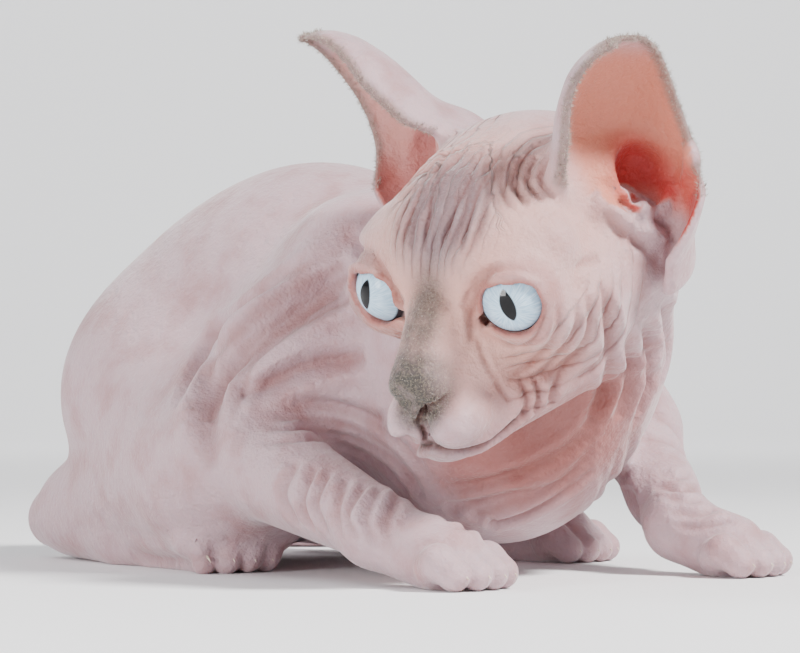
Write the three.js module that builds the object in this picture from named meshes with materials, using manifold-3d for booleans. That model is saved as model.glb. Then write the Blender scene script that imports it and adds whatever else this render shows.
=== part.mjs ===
// A live sphynx cat, crouching with its head turned over its right shoulder, life size, in millimetres.
// The body faces -Y, its left side is +X and the floor is z = 0.
// One smooth body is grown from ellipsoids and round cones, then parted with thin plane cuts.
import * as THREE from "three";
import { mergeVertices } from "three/addons/utils/BufferGeometryUtils.js";
import Module from "manifold-3d";

const wasm = await Module();
wasm.setup();

// Driving sizes
const gap = 0.3; // clearance of every parting cut
const rootGap = 0.5; // clearance at the roots of the ears and the tail
const cell = 2.4; // spacing of the sampling lattice
const originUnderBody = [45.98, 103.08]; // where the part's own origin lies in the body's frame
const bounds = { low: [-70, -75, -6], high: [165, 275, 175] };
const head = { at: [-5.5, 5, 92], yaw: -78, pitch: 27, roll: 5, size: 1.03 };
const eye = { x: 19.2, y: -22, z: 3.2, radius: 11, gaze: [0.3, -0.95, 0.03] };
const lids = { centre: -0.4, radius: 8.4, top: 6.3, slant: -0.06, duct: [-9.3, -5, 1.5], thickness: 1.5 };
const earSheet = 1.7;
const ears = {
  left: { base: [31, 17, 2], axis: [0.26, -0.08, 0.96], open: [0.93, -0.37, -0.25], length: 60.5,
    width: 20, bend: -1.5, cup: 0.9 },
  right: { base: [-31, 24, 8], axis: [-0.6, 0.03, 0.8], open: [-0.75, -0.66, -0.07], length: 60,
    width: 19, bend: 4, cup: 0.8 },
};
const earWrap = { // half turn of the sheet at each height, behind and in front of the cup's middle
  stations: [0, 0.22, 0.4, 0.6, 0.8, 1], back: [172, 140, 100, 80, 70, 60], front: [36, 58, 78, 80, 70, 60],
};
const earRoot = { at: [8, 6, -12], radii: [12, 10, 13] }; // bulge behind an ear: back, up, out of its mouth
const triangles = { head: 2400, neck: 420, trunk: 1250, tail: 380, foreleg: 740, hindleg: 680, ear: 460 };

// Each limb is a chain of joints from the body outward, with the radius of flesh at each
const limbs = {
  foreRight: [[14, 90, 98, 16], [4, 100, 66, 23], [-16, 104, 36, 17], [-30, 30, 17, 10.5]],
  foreLeft: [[76, 66, 98, 16], [88, 66, 72, 20], [107, 58, 43, 13.5], [90, 30, 24, 9.5], [80, 14, 16, 9.5]],
  hindRight: [[18, 177, 54, 37], [-5, 124, 31, 28], [8, 213, 18, 15]],
  hindLeft: [[64, 196, 70, 32], [112, 130, 34, 22], [96, 205, 18, 12]],
};
const paws = [
  { wrist: [-30, 30, 15], toe: [-25, -6, 5] },
  { wrist: [80, 14, 14], toe: [85, -13, 5] },
  { wrist: [-2, 176, 9], toe: [-14, 112, 5] },
  { wrist: [100, 150, 9], toe: [112, 84, 5] },
];
const metatarsals = [[[8, 228, 13], [-2, 176, 9]], [[96, 205, 14], [100, 150, 9]]];
const tailPath = [[43, 214, 50], [46, 236, 27], [66, 248, 9], [102, 240, 6.2], [128, 218, 5.2],
  [139, 190, 4.2], [138, 162, 3.2]];
const tailRadius = { root: 10, tip: 3.4 };

// Parting planes: a normal and a point, the second node of each pair being on the normal's side
const partings = {
  headNeck: { normal: [0, 0.94, 0.34], point: [0, 31, 0] }, // in the head's own frame
  neckTrunk: { normal: [0.25, 0.55, -0.8], point: [44, 30, 84] },
  rightLegs: { normal: [1, 0, 0.6], point: [32, 0, 0] },
  leftLegs: { normal: [1, 0, -0.6], point: [60, 0, 0] },
  rightPair: { normal: [0.25, 1, -0.6], point: [-10, 108, 30] },
  leftPair: { normal: [0, 0.75, -0.66], point: [0, 77, 18] },
};

// Small vector helpers
const plus = (a, b, k = 1) => [a[0] + b[0] * k, a[1] + b[1] * k, a[2] + b[2] * k];
const minus = (a, b) => plus(a, b, -1);
const dot = (a, b) => a[0] * b[0] + a[1] * b[1] + a[2] * b[2];
const cross = (a, b) => [a[1] * b[2] - a[2] * b[1], a[2] * b[0] - a[0] * b[2], a[0] * b[1] - a[1] * b[0]];
const unit = (a) => { const l = Math.hypot(...a); return [a[0] / l, a[1] / l, a[2] / l]; };

// Smooth joins and cuts of signed distances, k being the width of the fillet
const join = (a, b, k) => { const h = Math.max(k - Math.abs(a - b), 0) / k; return Math.min(a, b) - h * h * k / 4; };
const carve = (a, b, k) => -join(-a, b, k);

// Ellipsoid: the scaled length over its slope is close to the distance
function ball([cx, cy, cz], radii) {
  const [rx, ry, rz] = Array.isArray(radii) ? radii : [radii, radii, radii];
  return (x, y, z) => {
    const u = (x - cx) / rx, v = (y - cy) / ry, w = (z - cz) / rz;
    const length = Math.sqrt(u * u + v * v + w * w) + 1e-9;
    const slope = Math.sqrt((u / rx) ** 2 + (v / ry) ** 2 + (w / rz) ** 2) + 1e-9;
    return length * (length - 1) / slope;
  };
}

// Round cone: a capsule whose radius goes from ra at a to rb at b
function cone(a, b, ra, rb) {
  const ba = minus(b, a), l2 = dot(ba, ba), dr = ra - rb, a2 = l2 - dr * dr, il2 = 1 / l2;
  return (x, y, z) => {
    const px = x - a[0], py = y - a[1], pz = z - a[2];
    const s = px * ba[0] + py * ba[1] + pz * ba[2], t = s - l2;
    const wx = px * l2 - ba[0] * s, wy = py * l2 - ba[1] * s, wz = pz * l2 - ba[2] * s;
    const x2 = wx * wx + wy * wy + wz * wz, y2 = s * s * l2, z2 = t * t * l2;
    const k = Math.sign(dr) * dr * dr * x2;
    if (Math.sign(t) * a2 * z2 > k) return Math.sqrt(x2 + z2) * il2 - rb;
    if (Math.sign(s) * a2 * y2 < k) return Math.sqrt(x2 + y2) * il2 - ra;
    return (Math.sqrt(Math.max(x2 * a2 * il2, 0)) + s * dr) * il2 - ra;
  };
}

// A chain of round cones through the stations [x, y, z, radius], with a fillet at each joint
function chain(stations, fillet) {
  const links = stations.slice(1).map((s, i) => cone(stations[i], s, stations[i][3], s[3]));
  return (x, y, z) => links.reduce((d, link) => {
    const e = link(x, y, z);
    return d === null ? e : fillet ? join(d, e, fillet) : Math.min(d, e);
  }, null);
}

// The head's frame: forward is -y, up is +z, and it is turned, dipped and tilted on the neck
const headMatrix = new THREE.Matrix4()
  .makeTranslation(...head.at)
  .multiply(new THREE.Matrix4().makeRotationZ(THREE.MathUtils.degToRad(head.yaw)))
  .multiply(new THREE.Matrix4().makeRotationX(THREE.MathUtils.degToRad(head.pitch)))
  .multiply(new THREE.Matrix4().makeRotationY(THREE.MathUtils.degToRad(head.roll)))
  .multiply(new THREE.Matrix4().makeScale(head.size, head.size, head.size));
const intoHead = headMatrix.clone().invert().elements;
const fromHead = (p) => new THREE.Vector3(...p).applyMatrix4(headMatrix).toArray();

// Head: skull, cheekbones, muzzle, nose, jaw and lids, mirrored about its middle plane
const gaze = unit(eye.gaze);
const gazeOut = unit(cross([0, 0, 1], gaze));
const gazeUp = cross(gaze, gazeOut);
const eyeCentre = [eye.x, eye.y, eye.z];
const skull = [
  [ball([0, 14, 8.5], [30, 38, 27]), 1],
  [ball([0, -8, 10], [23, 20, 22]), 10],
  [ball([24, -9, -5], [11.5, 20, 10]), 8],
  [ball([21.5, 7, -11], [14.5, 23, 18.5]), 10],
  [cone([0, -16, -10], [0, -38, -18], 18, 11), 8],
  [cone([0, -20, 9], [0, -47, -10.5], 10, 7.2), 5],
  [cone([9, -22, 13], [25, -12, 13], 8, 6.5), 10],
  [cone([8.5, -27.5, 11], [10, -30, 3], 6, 3.6), 5],
  [cone([6, -36, -31], [21, 6, -23], 7, 11), 6],
  [ball([0, -39.5, -33.2], [9.5, 9.5, 6.6]), 3],
];
const socket = ball(plus(eyeCentre, [2.5, -9, 0]), [11, 8, 9]);
const lidBall = ball(eyeCentre, eye.radius + lids.thickness);
const whiskerPad = ball([6.8, -41, -25.2], [7.4, 12, 7.8]);
const nose = ball([0, -48.5, -12.8], [8, 8, 6.8]);
const mouth = chain([[0, -51.5, -29, 0.9], [5, -50.5, -32, 0.9], [10.5, -46.5, -33, 0.9], [15, -40, -32.5, 0.8],
  [19, -33, -31, 0.7]]);
const nostril = chain([[3.4, -54.3, -18.6, 1.1], [4.8, -54, -16.2, 1.4], [7.6, -51, -14.6, 0.9]]);
const earRoots = Object.values(ears).map(({ base, axis, open }) => {
  const t = unit(axis), o = unit(plus(open, t, -dot(open, t))), side = Math.sign(base[0]);
  const [back, high, out] = earRoot.at;
  return ball(plus(plus(plus(base, cross(t, o), back * side), t, high), o, out), earRoot.radii);
});

function headForm(wx, wy, wz) {
  const m = intoHead;
  const across = m[0] * wx + m[4] * wy + m[8] * wz + m[12], x = Math.abs(across);
  const y = m[1] * wx + m[5] * wy + m[9] * wz + m[13];
  const z = m[2] * wx + m[6] * wy + m[10] * wz + m[14];
  let d = skull.reduce((sum, [form, k]) => join(sum, form(x, y, z), k), 1e3);
  if (d > 30) return d * head.size;
  d = carve(d, socket(x, y, z), 5);
  d = join(d, lidBall(x, y, z), 4);
  d = join(d, whiskerPad(x, y, z), 4);
  const noseFront = 0.93 * (y + 54.2) + 0.37 * (z + 15);
  d = join(d, -join(-nose(x, y, z), noseFront, 1.2), 2);
  d = join(d, earRoots[across > 0 ? 0 : 1](across, y, z), 12);
  const w = minus([x, y, z], eyeCentre);
  const out = dot(w, gazeOut), up = dot(w, gazeUp), ahead = dot(w, gaze);
  let opening = -join(lids.radius - Math.hypot(out, up - lids.centre), lids.top + lids.slant * out - up, 2);
  const [du, dv, dr] = lids.duct;
  opening = join(opening, Math.hypot(out - du, up - dv) - dr, 4);
  opening = Math.max(opening, -ahead);
  d = carve(d, opening, 1.5);
  d = carve(d, mouth(x, y, z), 1.6);
  return carve(d, nostril(x, y, z), 1.2) * head.size;
}

// A paw: a palm and four toes side by side, the two middle toes leading
function pawForm({ wrist, toe }) {
  const ahead = unit([toe[0] - wrist[0], toe[1] - wrist[1], 0]);
  const side = cross([0, 0, 1], ahead);
  const knuckle = plus(toe, ahead, -9);
  const palm = cone(wrist, plus(knuckle, [0, 0, 3]), 10, 10.5);
  const toes = [-1, -1 / 3, 1 / 3, 1].map((t) => {
    const far = Math.abs(t);
    const root = plus(plus(knuckle, side, t * 7.6), [0, 0, 2.5 - 1.2 * far]);
    const bend = plus(plus(plus(knuckle, side, t * 11), ahead, 7 - 3 * far), [0, 0, 3.2]);
    const tip = plus(bend, ahead, 5.5);
    tip[2] = 4.6;
    const upper = cone(root, bend, 6, 4.8), lower = cone(bend, tip, 4.8, 4.6);
    return (x, y, z) => join(upper(x, y, z), lower(x, y, z), 2);
  });
  return (x, y, z) => toes.reduce((d, t) => join(d, t(x, y, z), 1), palm(x, y, z));
}

// Body: rib cage, loin, rump and chest, with the neck, the limbs and the paws joined on
const trunkForms = [
  [ball([46, 62, 65], [46, 59, 47]), 1],
  [ball([44, 138, 72], [50, 64, 57]), 26],
  [ball([40, 176, 54], [50, 52, 50]), 26],
  [ball([38, 50, 46], [32, 36, 36]), 16],
];
const neckForms = [cone([52, 62, 84], [28, 5, 94], 42, 29), ball([40, 0, 110], [19, 19, 22])];
const limbForms = Object.values(limbs).map((stations) => chain(stations, 8));
const pawForms = paws.map(pawForm);
const metatarsalForms = metatarsals.map(([a, b]) => cone(a, b, 10, 10));
const tailCurve = new THREE.CatmullRomCurve3(tailPath.map((p) => new THREE.Vector3(...p)));
const tailForm = chain(tailCurve.getPoints(16).map((p, i) => {
  const t = i / 16;
  return [p.x, p.y, Math.max(p.z, 3), THREE.MathUtils.lerp(tailRadius.root, tailRadius.tip, t ** 0.7)];
}));

function bodyForm(x, y, z) {
  let d = trunkForms.reduce((sum, [form, k]) => join(sum, form(x, y, z), k), 1e3);
  d = join(d, join(neckForms[0](x, y, z), neckForms[1](x, y, z), 16), 22);
  for (const limb of limbForms) d = join(d, limb(x, y, z), 14);
  for (const paw of pawForms) d = join(d, paw(x, y, z), 5);
  for (const foot of metatarsalForms) d = join(d, foot(x, y, z), 8);
  return d;
}
const catForm = (x, y, z) => join(headForm(x, y, z), bodyForm(x, y, z), 14);

// Sampling a form on a lattice, skipping the blocks of eight cells that lie far from its surface
function sample(form, { low, high }) {
  const n = low.map((l, i) => Math.ceil((high[i] - l) / cell / 8) * 8 + 1);
  const values = new Float32Array(n[0] * n[1] * n[2]);
  const reach = cell * 8 * 0.87 * 1.35 + 6;
  for (let bz = 0; bz < n[2]; bz += 8)
    for (let by = 0; by < n[1]; by += 8)
      for (let bx = 0; bx < n[0]; bx += 8) {
        const middle = form(low[0] + (bx + 4) * cell, low[1] + (by + 4) * cell, low[2] + (bz + 4) * cell);
        const far = Math.abs(middle) > reach;
        for (let k = bz; k < Math.min(bz + 8, n[2]); k++)
          for (let j = by; j < Math.min(by + 8, n[1]); j++)
            for (let i = bx; i < Math.min(bx + 8, n[0]); i++)
              values[(k * n[1] + j) * n[0] + i] = far
                ? middle
                : form(low[0] + i * cell, low[1] + j * cell, low[2] + k * cell);
      }
  return { n, low, values };
}

// Surface of a sampled form: one vertex in each crossed cell, one pair of triangles for each crossed edge
function surface({ n, low, values }, level = 0) {
  const at = (i, j, k) => (k * n[1] + j) * n[0] + i;
  const owner = new Int32Array(values.length).fill(-1);
  const points = [];
  const corners = Array.from({ length: 8 }, (_, c) => [c & 1, (c >> 1) & 1, (c >> 2) & 1]);
  const edges = [];
  for (let c = 0; c < 8; c++) for (const bit of [1, 2, 4]) if (!(c & bit)) edges.push([c, c | bit]);
  for (let k = 0; k < n[2] - 1; k++)
    for (let j = 0; j < n[1] - 1; j++)
      for (let i = 0; i < n[0] - 1; i++) {
        const v = corners.map(([a, b, c]) => values[at(i + a, j + b, k + c)] - level);
        if (v.every((d) => d < 0) || v.every((d) => d >= 0)) continue;
        let sum = [0, 0, 0], count = 0;
        for (const [p, q] of edges) {
          if (v[p] < 0 === v[q] < 0) continue;
          const t = v[p] / (v[p] - v[q]);
          sum = plus(sum, plus(corners[p], minus(corners[q], corners[p]), t));
          count++;
        }
        owner[at(i, j, k)] = points.length;
        points.push(sum.map((s, a) => low[a] + ([i, j, k][a] + s / count) * cell));
      }
  const faces = [];
  for (let k = 1; k < n[2] - 1; k++)
    for (let j = 1; j < n[1] - 1; j++)
      for (let i = 1; i < n[0] - 1; i++) {
        const inside = values[at(i, j, k)] < level;
        for (let axis = 0; axis < 3; axis++) {
          const step = [0, 0, 0];
          step[axis] = 1;
          if (inside === values[at(i + step[0], j + step[1], k + step[2])] < level) continue;
          const u = [0, 0, 0], w = [0, 0, 0];
          u[(axis + 1) % 3] = 1;
          w[(axis + 2) % 3] = 1;
          const ring = [[1, 1], [0, 1], [0, 0], [1, 0]].map(([a, b]) =>
            owner[at(i - a * u[0] - b * w[0], j - a * u[1] - b * w[1], k - a * u[2] - b * w[2])]);
          const [a, b, c, d] = inside ? [ring[0], ring[3], ring[2], ring[1]] : ring;
          faces.push([a, c, b], [a, d, c]);
        }
      }
  return { points, faces };
}

// Points are pulled onto the true surface along the form's slope
function settle({ points, faces }, form) {
  const e = 0.2;
  const settled = points.map(([x, y, z]) => {
    const d = form(x, y, z);
    const g = [form(x + e, y, z) - d, form(x, y + e, z) - d, form(x, y, z + e) - d].map((v) => v / e);
    const step = THREE.MathUtils.clamp(-d / Math.max(dot(g, g), 0.3), -cell / 2, cell / 2);
    return plus([x, y, z], g, step);
  });
  return { points: settled, faces };
}

// Between the faceted pieces and the solids that are joined and cut
function solid({ points, faces }) {
  return new wasm.Manifold(new wasm.Mesh({
    numProp: 3,
    vertProperties: new Float32Array(points.flat()),
    triVerts: new Uint32Array(faces.flat()),
  }));
}
function facets(body) {
  const mesh = body.getMesh();
  const points = [], faces = [];
  for (let i = 0; i < mesh.numVert; i++)
    points.push(Array.from(mesh.vertProperties.subarray(i * mesh.numProp, i * mesh.numProp + 3)));
  for (let i = 0; i < mesh.numTri; i++) faces.push(Array.from(mesh.triVerts.subarray(3 * i, 3 * i + 3)));
  return { points, faces };
}
const largest = (body) => body.decompose().sort((a, b) => b.volume() - a.volume())[0];

// Thinning: the edge whose removal moves the surface least goes first, and kept points never move
function thin({ points, faces }, target) {
  const planes = points.map(() => new Float64Array(10));
  const around = points.map(() => new Set());
  const faceNormal = ([a, b, c]) => cross(minus(points[b], points[a]), minus(points[c], points[a]));
  faces.forEach((f, index) => {
    const normal = faceNormal(f), area = Math.hypot(...normal) + 1e-12;
    const [a, b, c] = normal.map((v) => v / area), d = -dot([a, b, c], points[f[0]]);
    const q = [a * a, a * b, a * c, a * d, b * b, b * c, b * d, c * c, c * d, d * d];
    for (const v of f) {
      for (let i = 0; i < 10; i++) planes[v][i] += q[i] * area;
      around[v].add(index);
    }
  });
  const cost = (from, to) => {
    const [x, y, z] = points[to], p = planes[from], q = planes[to];
    const s = (i) => p[i] + q[i];
    const error = x * (s(0) * x + 2 * (s(1) * y + s(2) * z + s(3))) + y * (s(4) * y + 2 * (s(5) * z + s(6)))
      + z * (s(7) * z + 2 * s(8)) + s(9);
    const edge = minus(points[from], points[to]);
    return error + 0.003 * dot(edge, edge);
  };
  const heap = [];
  const push = (item) => {
    let i = heap.push(item) - 1;
    while (i > 0) {
      const parent = (i - 1) >> 1;
      if (heap[parent][0] <= heap[i][0]) break;
      [heap[parent], heap[i]] = [heap[i], heap[parent]];
      i = parent;
    }
  };
  const pop = () => {
    const top = heap[0], last = heap.pop();
    if (heap.length) {
      heap[0] = last;
      for (let i = 0; ;) {
        let least = i;
        for (const child of [2 * i + 1, 2 * i + 2])
          if (child < heap.length && heap[child][0] < heap[least][0]) least = child;
        if (least === i) break;
        [heap[least], heap[i]] = [heap[i], heap[least]];
        i = least;
      }
    }
    return top;
  };
  const age = new Int32Array(points.length);
  const neighbours = (v) => {
    const near = new Set();
    for (const f of around[v]) for (const w of faces[f]) if (w !== v) near.add(w);
    return near;
  };
  const offer = (from, to) => push([cost(from, to), from, to, age[from], age[to]]);
  points.forEach((_, v) => { for (const w of neighbours(v)) offer(v, w); });
  let left = faces.length;
  while (left > target && heap.length) {
    const [, from, to, ageFrom, ageTo] = pop();
    if (age[from] !== ageFrom || age[to] !== ageTo) continue;
    const nearFrom = neighbours(from), nearTo = neighbours(to);
    let shared = 0;
    for (const w of nearFrom) if (nearTo.has(w)) shared++;
    if (shared !== 2 || nearFrom.size < 3 || nearTo.size < 4) continue;
    const folds = [...around[from]].some((f) => {
      if (faces[f].includes(to)) return false;
      const before = faceNormal(faces[f]);
      const after = faceNormal(faces[f].map((v) => (v === from ? to : v)));
      const size = Math.hypot(...after);
      return size < 0.02 || dot(before, after) < 0.3 * Math.hypot(...before) * size;
    });
    if (folds) continue;
    for (const f of around[from]) {
      if (faces[f].includes(to)) {
        for (const v of faces[f]) if (v !== from) around[v].delete(f);
        faces[f] = null;
        left--;
      } else {
        faces[f] = faces[f].map((v) => (v === from ? to : v));
        around[to].add(f);
      }
    }
    around[from] = new Set();
    age[from] = -1;
    for (let i = 0; i < 10; i++) planes[to][i] += planes[from][i];
    age[to]++;
    for (const w of neighbours(to)) { offer(to, w); offer(w, to); }
  }
  const kept = new Map();
  const keptPoints = [];
  const keptFaces = faces.filter((f) => f).map((f) => f.map((v) => {
    if (!kept.has(v)) kept.set(v, keptPoints.push(points[v]) - 1);
    return kept.get(v);
  }));
  return { points: keptPoints, faces: keptFaces };
}

// One side of a parting plane, held back from it by half the gap
function side(body, { normal, point }, sign) {
  const n = unit(normal).map((v) => v * sign);
  return body.trimByPlane(n, dot(n, point) + gap / 2);
}

// A monotone cubic through stations, for the outline of an ear
function profile(stations, values, v) {
  let i = 0;
  while (i < stations.length - 2 && v > stations[i + 1]) i++;
  const slope = (j) => (values[j + 1] - values[j]) / (stations[j + 1] - stations[j]);
  const tangent = (j) => {
    if (j === 0) return slope(0);
    if (j === stations.length - 1) return slope(j - 1);
    const a = slope(j - 1), b = slope(j);
    return a * b <= 0 ? 0 : (2 * a * b) / (a + b);
  };
  const width = stations[i + 1] - stations[i], t = (v - stations[i]) / width;
  return (2 * t ** 3 - 3 * t ** 2 + 1) * values[i] + (t ** 3 - 2 * t ** 2 + t) * width * tangent(i)
    + (3 * t ** 2 - 2 * t ** 3) * values[i + 1] + (t ** 3 - t ** 2) * width * tangent(i + 1);
}

// An ear: a sheet wrapped round its axis at the root, opening into a broad cup with a rounded tip
function earShell({ base, axis, open, length, width, bend, cup }, across = 12, along = 10) {
  const t = unit(axis);
  const o = unit(plus(open, t, -dot(open, t)));
  const s = cross(t, o);
  const behind = Math.sign(base[0]);
  const middle = (u, v) => {
    const half = width * profile([0, 0.2, 0.4, 0.6, 0.8, 0.92, 0.98, 1],
      [0.8, 0.92, 1, 0.97, 0.8, 0.56, 0.33, 0.16], v);
    const wrap = profile(earWrap.stations, u * behind > 0 ? earWrap.back : earWrap.front, v);
    const opened = THREE.MathUtils.clamp(profile(earWrap.stations, earWrap.front, v), 60, 90);
    const radius = half / Math.sin(THREE.MathUtils.degToRad(opened));
    const turn = THREE.MathUtils.degToRad(wrap) * u;
    let p = plus(base, s, radius * Math.sin(turn));
    p = plus(p, o, -radius * Math.cos(turn) * cup + bend * v * v);
    return plus(p, t, length * v);
  };
  const outer = [], inner = [];
  for (let j = 0; j < along; j++)
    for (let i = 0; i < across; i++) {
      const u = -1 + (2 * i) / (across - 1), v = Math.sin((j / (along - 1)) * Math.PI / 2) ** 0.9;
      const du = minus(middle(u + 0.01, v), middle(u - 0.01, v));
      const dv = minus(middle(u, Math.min(v + 0.01, 1)), middle(u, Math.max(v - 0.01, 0)));
      const n = unit(cross(du, dv));
      const rim = 0.6 + 0.4 * Math.sqrt(Math.max(Math.cos(u * Math.PI / 2), 0));
      const half = earSheet * rim * profile([0, 0.3, 0.8, 1], [1.8, 1.2, 1, 0.7], v) / 2;
      outer.push(fromHead(plus(middle(u, v), n, half)));
      inner.push(fromHead(plus(middle(u, v), n, -half)));
    }
  const count = across * along, faces = [];
  const quad = (a, b, c, d) => faces.push([a, b, c], [a, c, d]);
  for (let j = 0; j < along - 1; j++)
    for (let i = 0; i < across - 1; i++) {
      const a = j * across + i, b = a + 1, c = b + across, d = a + across;
      quad(a, b, c, d);
      quad(a + count, d + count, c + count, b + count);
    }
  const rim = [];
  for (let i = 0; i < across - 1; i++) rim.push(i);
  for (let j = 0; j < along - 1; j++) rim.push(j * across + across - 1);
  for (let i = across - 1; i > 0; i--) rim.push((along - 1) * across + i);
  for (let j = along - 1; j > 0; j--) rim.push(j * across);
  rim.forEach((a, i) => {
    const b = rim[(i + 1) % rim.length];
    quad(b, a, a + count, b + count);
  });
  return { points: [...outer, ...inner], faces };
}

// An eyeball, its pole on the line of sight
function eyeBall(x, grow) {
  const geometry = new THREE.SphereGeometry((eye.radius + grow) * head.size, 16, 10);
  geometry.rotateX(-Math.PI / 2);
  geometry.deleteAttribute("normal");
  geometry.deleteAttribute("uv");
  const merged = mergeVertices(geometry, 1e-3);
  const centre = fromHead([x, eye.y, eye.z]);
  const points = [];
  const p = merged.attributes.position;
  for (let i = 0; i < p.count; i++) points.push(plus([p.getX(i), p.getY(i), p.getZ(i)], centre));
  const faces = [];
  for (let i = 0; i < merged.index.count; i += 3)
    faces.push([merged.index.getX(i), merged.index.getX(i + 1), merged.index.getX(i + 2)]);
  return solid({ points, faces });
}

// The whole animal is sampled once, set on the floor and parted
const sampled = sample(catForm, bounds);
const whole = largest(solid(settle(surface(sampled), catForm))).trimByPlane([0, 0, 1], 0);
const grown = largest(solid(surface(sampled, rootGap)));
const headPlane = {
  normal: minus(fromHead(partings.headNeck.normal), fromHead([0, 0, 0])),
  point: fromHead(partings.headNeck.point),
};
const { neckTrunk, rightLegs, leftLegs, rightPair, leftPair } = partings;
const frontUp = side(whole, neckTrunk, -1);
const rest = side(whole, neckTrunk, 1);
const right = side(rest, rightLegs, -1);
const inward = side(rest, rightLegs, 1);
const left = side(inward, leftLegs, 1);
const tailWhole = solid(settle(surface(sample(tailForm, bounds)), tailForm)).trimByPlane([0, 0, 1], 0);

let headBody = side(frontUp, headPlane, -1);
const flesh = {
  neck: thin(facets(largest(side(frontUp, headPlane, 1))), triangles.neck),
  trunk: thin(facets(largest(side(inward, leftLegs, -1))), triangles.trunk),
  foreleg_right: thin(facets(largest(side(right, rightPair, -1))), triangles.foreleg),
  foreleg_left: thin(facets(largest(side(left, leftPair, -1))), triangles.foreleg),
  hindleg_right: thin(facets(largest(side(right, rightPair, 1))), triangles.hindleg),
  hindleg_left: thin(facets(largest(side(left, leftPair, 1))), triangles.hindleg),
  tail: thin(facets(largest(tailWhole.subtract(grown))), triangles.tail),
};
headBody = solid(thin(facets(largest(headBody)), triangles.head));
for (const x of [eye.x, -eye.x]) headBody = headBody.subtract(eyeBall(x, gap / head.size));
flesh.head = facets(largest(headBody));
for (const name of ["left", "right"]) {
  const shell = solid(earShell(ears[name]));
  flesh["ear_" + name] = thin(facets(largest(shell.subtract(grown))), triangles.ear);
}
const eyes = { eye_left: facets(eyeBall(eye.x, 0)), eye_right: facets(eyeBall(-eye.x, 0)) };

// Meshes and their materials
const skin = new THREE.Color(0.78, 0.62, 0.6);
const earSkin = new THREE.Color(0.74, 0.5, 0.46);
const iris = new THREE.Color(0.5, 0.66, 0.8);
const cat = new THREE.Group();
function put(name, { points, faces }, color, roughness) {
  const geometry = new THREE.BufferGeometry();
  geometry.setAttribute("position", new THREE.Float32BufferAttribute(points.flat(), 3));
  geometry.setIndex(faces.flat());
  geometry.computeVertexNormals();
  const mesh = new THREE.Mesh(geometry, new THREE.MeshStandardMaterial({ color, roughness, metalness: 0 }));
  mesh.name = name;
  cat.add(mesh);
}
for (const [name, form] of Object.entries(flesh)) put(name, form, name.startsWith("ear") ? earSkin : skin, 0.7);
for (const [name, form] of Object.entries(eyes)) put(name, form, iris, 0.1);
cat.position.set(-originUnderBody[0], -originUnderBody[1], 0);

export default cat;
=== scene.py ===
import bpy, bmesh, math
import numpy as np
import openvdb
from concurrent.futures import ThreadPoolExecutor
from mathutils import Matrix, Vector


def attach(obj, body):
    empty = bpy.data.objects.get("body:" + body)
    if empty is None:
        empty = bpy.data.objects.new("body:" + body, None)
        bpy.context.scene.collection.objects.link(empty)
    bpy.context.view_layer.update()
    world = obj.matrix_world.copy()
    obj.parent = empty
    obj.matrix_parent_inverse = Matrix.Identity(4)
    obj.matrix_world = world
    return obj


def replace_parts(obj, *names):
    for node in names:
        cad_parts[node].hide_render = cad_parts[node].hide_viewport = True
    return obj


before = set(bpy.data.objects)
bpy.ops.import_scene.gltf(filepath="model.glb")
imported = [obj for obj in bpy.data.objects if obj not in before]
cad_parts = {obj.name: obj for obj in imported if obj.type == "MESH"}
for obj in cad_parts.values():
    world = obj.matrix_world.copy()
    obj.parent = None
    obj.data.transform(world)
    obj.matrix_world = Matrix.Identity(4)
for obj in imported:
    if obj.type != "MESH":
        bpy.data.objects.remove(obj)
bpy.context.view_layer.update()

# A hairless cat, crouching with its head turned over its right shoulder.
# Shapes are worked out in millimetres in the body's frame: it faces -Y, its left is +X, the floor is z = 0.

body = {
    "originUnderBody": (45.98, 103.08),   # where the part's origin lies in the body's frame
    "middle": 44,                         # x of the plane that parts its left from its right
    "low": (-70, -75, -6), "high": (165, 275, 178),
    "voxel": .8,   # spacing of the skin's sampling lattice
    "pressed": (-5.2, 2.6),               # how far creases may move the skin in and out
    "triangles": 194000,
}
# Camera: set by where the head lies in the picture and how large it is there; metres, pixels and degrees,
# with rayStart the millimetres from the camera at which rays towards the form begin
shot = {"azimuth": -43, "elevation": -1, "distance": 1.0, "metresPerPixel": .000285, "headPixel": (525, 270),
        "head": (0, 0, 90), "width": 800, "height": 653, "rayStart": 780.0}


# The camera's right, up and backward directions, and the point that it aims at: the head's place moved
# by the head pixel's offset from the picture's middle
def shotFrame():
    az, el = math.radians(shot["azimuth"]), math.radians(shot["elevation"])
    back = Vector((math.sin(az) * math.cos(el), -math.cos(az) * math.cos(el), math.sin(el)))
    right = Vector((math.cos(az), math.sin(az), 0))
    up = back.cross(right)
    px, py = shot["headPixel"]
    scale = shot["metresPerPixel"]
    aim = (Vector(toRow(shot["head"])) - right * (px - shot["width"] / 2) * scale
           + up * (py - shot["height"] / 2) * scale)
    return right, up, back, aim


headPlace = {"at": (-5.5, 5, 92), "yaw": -78, "pitch": 27, "roll": 5, "size": 1.03}
eye = {"x": 19.2, "y": -22, "z": 3.2, "radius": 11, "gaze": (.30, -.95, .03)}
lids = {"centre": -.4, "radius": 8.4, "top": 6.3, "slant": -.06, "duct": (-9.3, -5, 1.5),
        "thickness": 2, "clearance": 1.7}
# The last two numbers of each ear set how strongly its lining's painted glow and its canal's painted shade
# show
ears = {
    "left": {"side": 1, "base": (31, 17, 2), "axis": (.26, -.08, .96), "open": (.93, -.37, -.25),
             "length": 60.5, "width": 20, "bend": -1.5, "cup": .9, "warmGlow": 1, "deep": 1},
    "right": {"side": -1, "base": (-31, 24, 8), "axis": (-.60, .03, .80), "open": (-.75, -.66, -.07),
              "length": 60, "width": 19, "bend": 4, "cup": .8, "warmGlow": .55, "deep": .35},
}
earOutline = ([0, .2, .4, .6, .8, .92, .98, 1], [.80, .92, 1, .97, .80, .56, .33, .16])
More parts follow.
